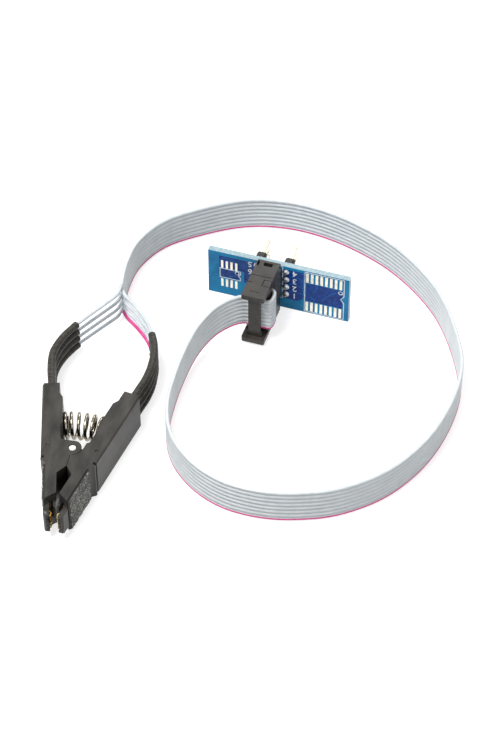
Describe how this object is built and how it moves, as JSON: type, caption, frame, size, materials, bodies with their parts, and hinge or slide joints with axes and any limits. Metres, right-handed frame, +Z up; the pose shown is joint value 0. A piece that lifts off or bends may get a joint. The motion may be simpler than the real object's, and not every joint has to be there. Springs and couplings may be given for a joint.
{
  "type": "spring-loaded chip test clip",
  "caption": "Spring clip that grips a small chip in circuit, with a flat cable to a socket on a pin adapter board.",
  "frame": {"origin": "middle of the clip's own box at the surface that it lies on", "axes": "+Y from the jaw tips to the handles along the closed clip's middle line, +Z up along the pivot pin, +X to the lever with the coloured wire"},
  "size_m": [0.1016, 0.1175, 0.0166],
  "materials": {
    "clip_plastic": "matt black moulded nylon",
    "grip_plastic": "coarse grained black plastic",
    "gold": "gold plated",
    "steel": "bright drawn wire",
    "sleeve": "black shrink tube",
    "cable": "grey ribbed insulation with one coloured edge",
    "socket_plastic": "matt black moulded plastic",
    "board": "blue solder mask on glass fibre",
    "pin_plastic": "black moulded plastic",
    "solder": "bright tinned"
  },
  "bodies": {
    "left_half": {"left_lever": "clip_plastic", "left_grip_pad": "grip_plastic", "left_contacts": "gold", "left_tail_pins": "gold", "pivot_pin": "steel", "jaw_spring": "steel", "left_sleeves": "sleeve", "left_leads": "cable", "right_leads": "cable", "ribbon_cable": "cable", "socket_body": "socket_plastic", "socket_cover": "socket_plastic", "strain_relief": "socket_plastic", "socket_contacts": "gold"},
    "right_half": {"right_lever": "clip_plastic", "right_grip_pad": "grip_plastic", "right_contacts": "gold", "right_tail_pins": "gold", "right_sleeves": "sleeve"},
    "adapter": {"adapter_board": "board", "wide_chip_pads": "solder", "narrow_chip_pads": "solder", "header_base": "pin_plastic", "header_pins": "gold", "strip_left": "pin_plastic", "strip_right": "pin_plastic", "strip_pins_left": "gold", "strip_pins_right": "gold", "solder_joints": "solder"}
  },
  "joints": [
    {"name": "jaw_pivot", "type": "hinge", "parent": "left_half", "child": "right_half", "pos_m": [0, -0.00023, 0.0052], "axis": [0, 0, 1], "range_deg": [0, 20], "stiffness_Nm_per_rad": 0.05, "springref_deg": -22.92, "deforming": ["jaw_spring", "right_leads", "right_sleeves"]},
    {"name": "board_unplug", "type": "slide", "parent": "left_half", "child": "adapter", "axis": [0.1374, 0.9905, 0], "range_m": [0, 0.007]}
  ]
}
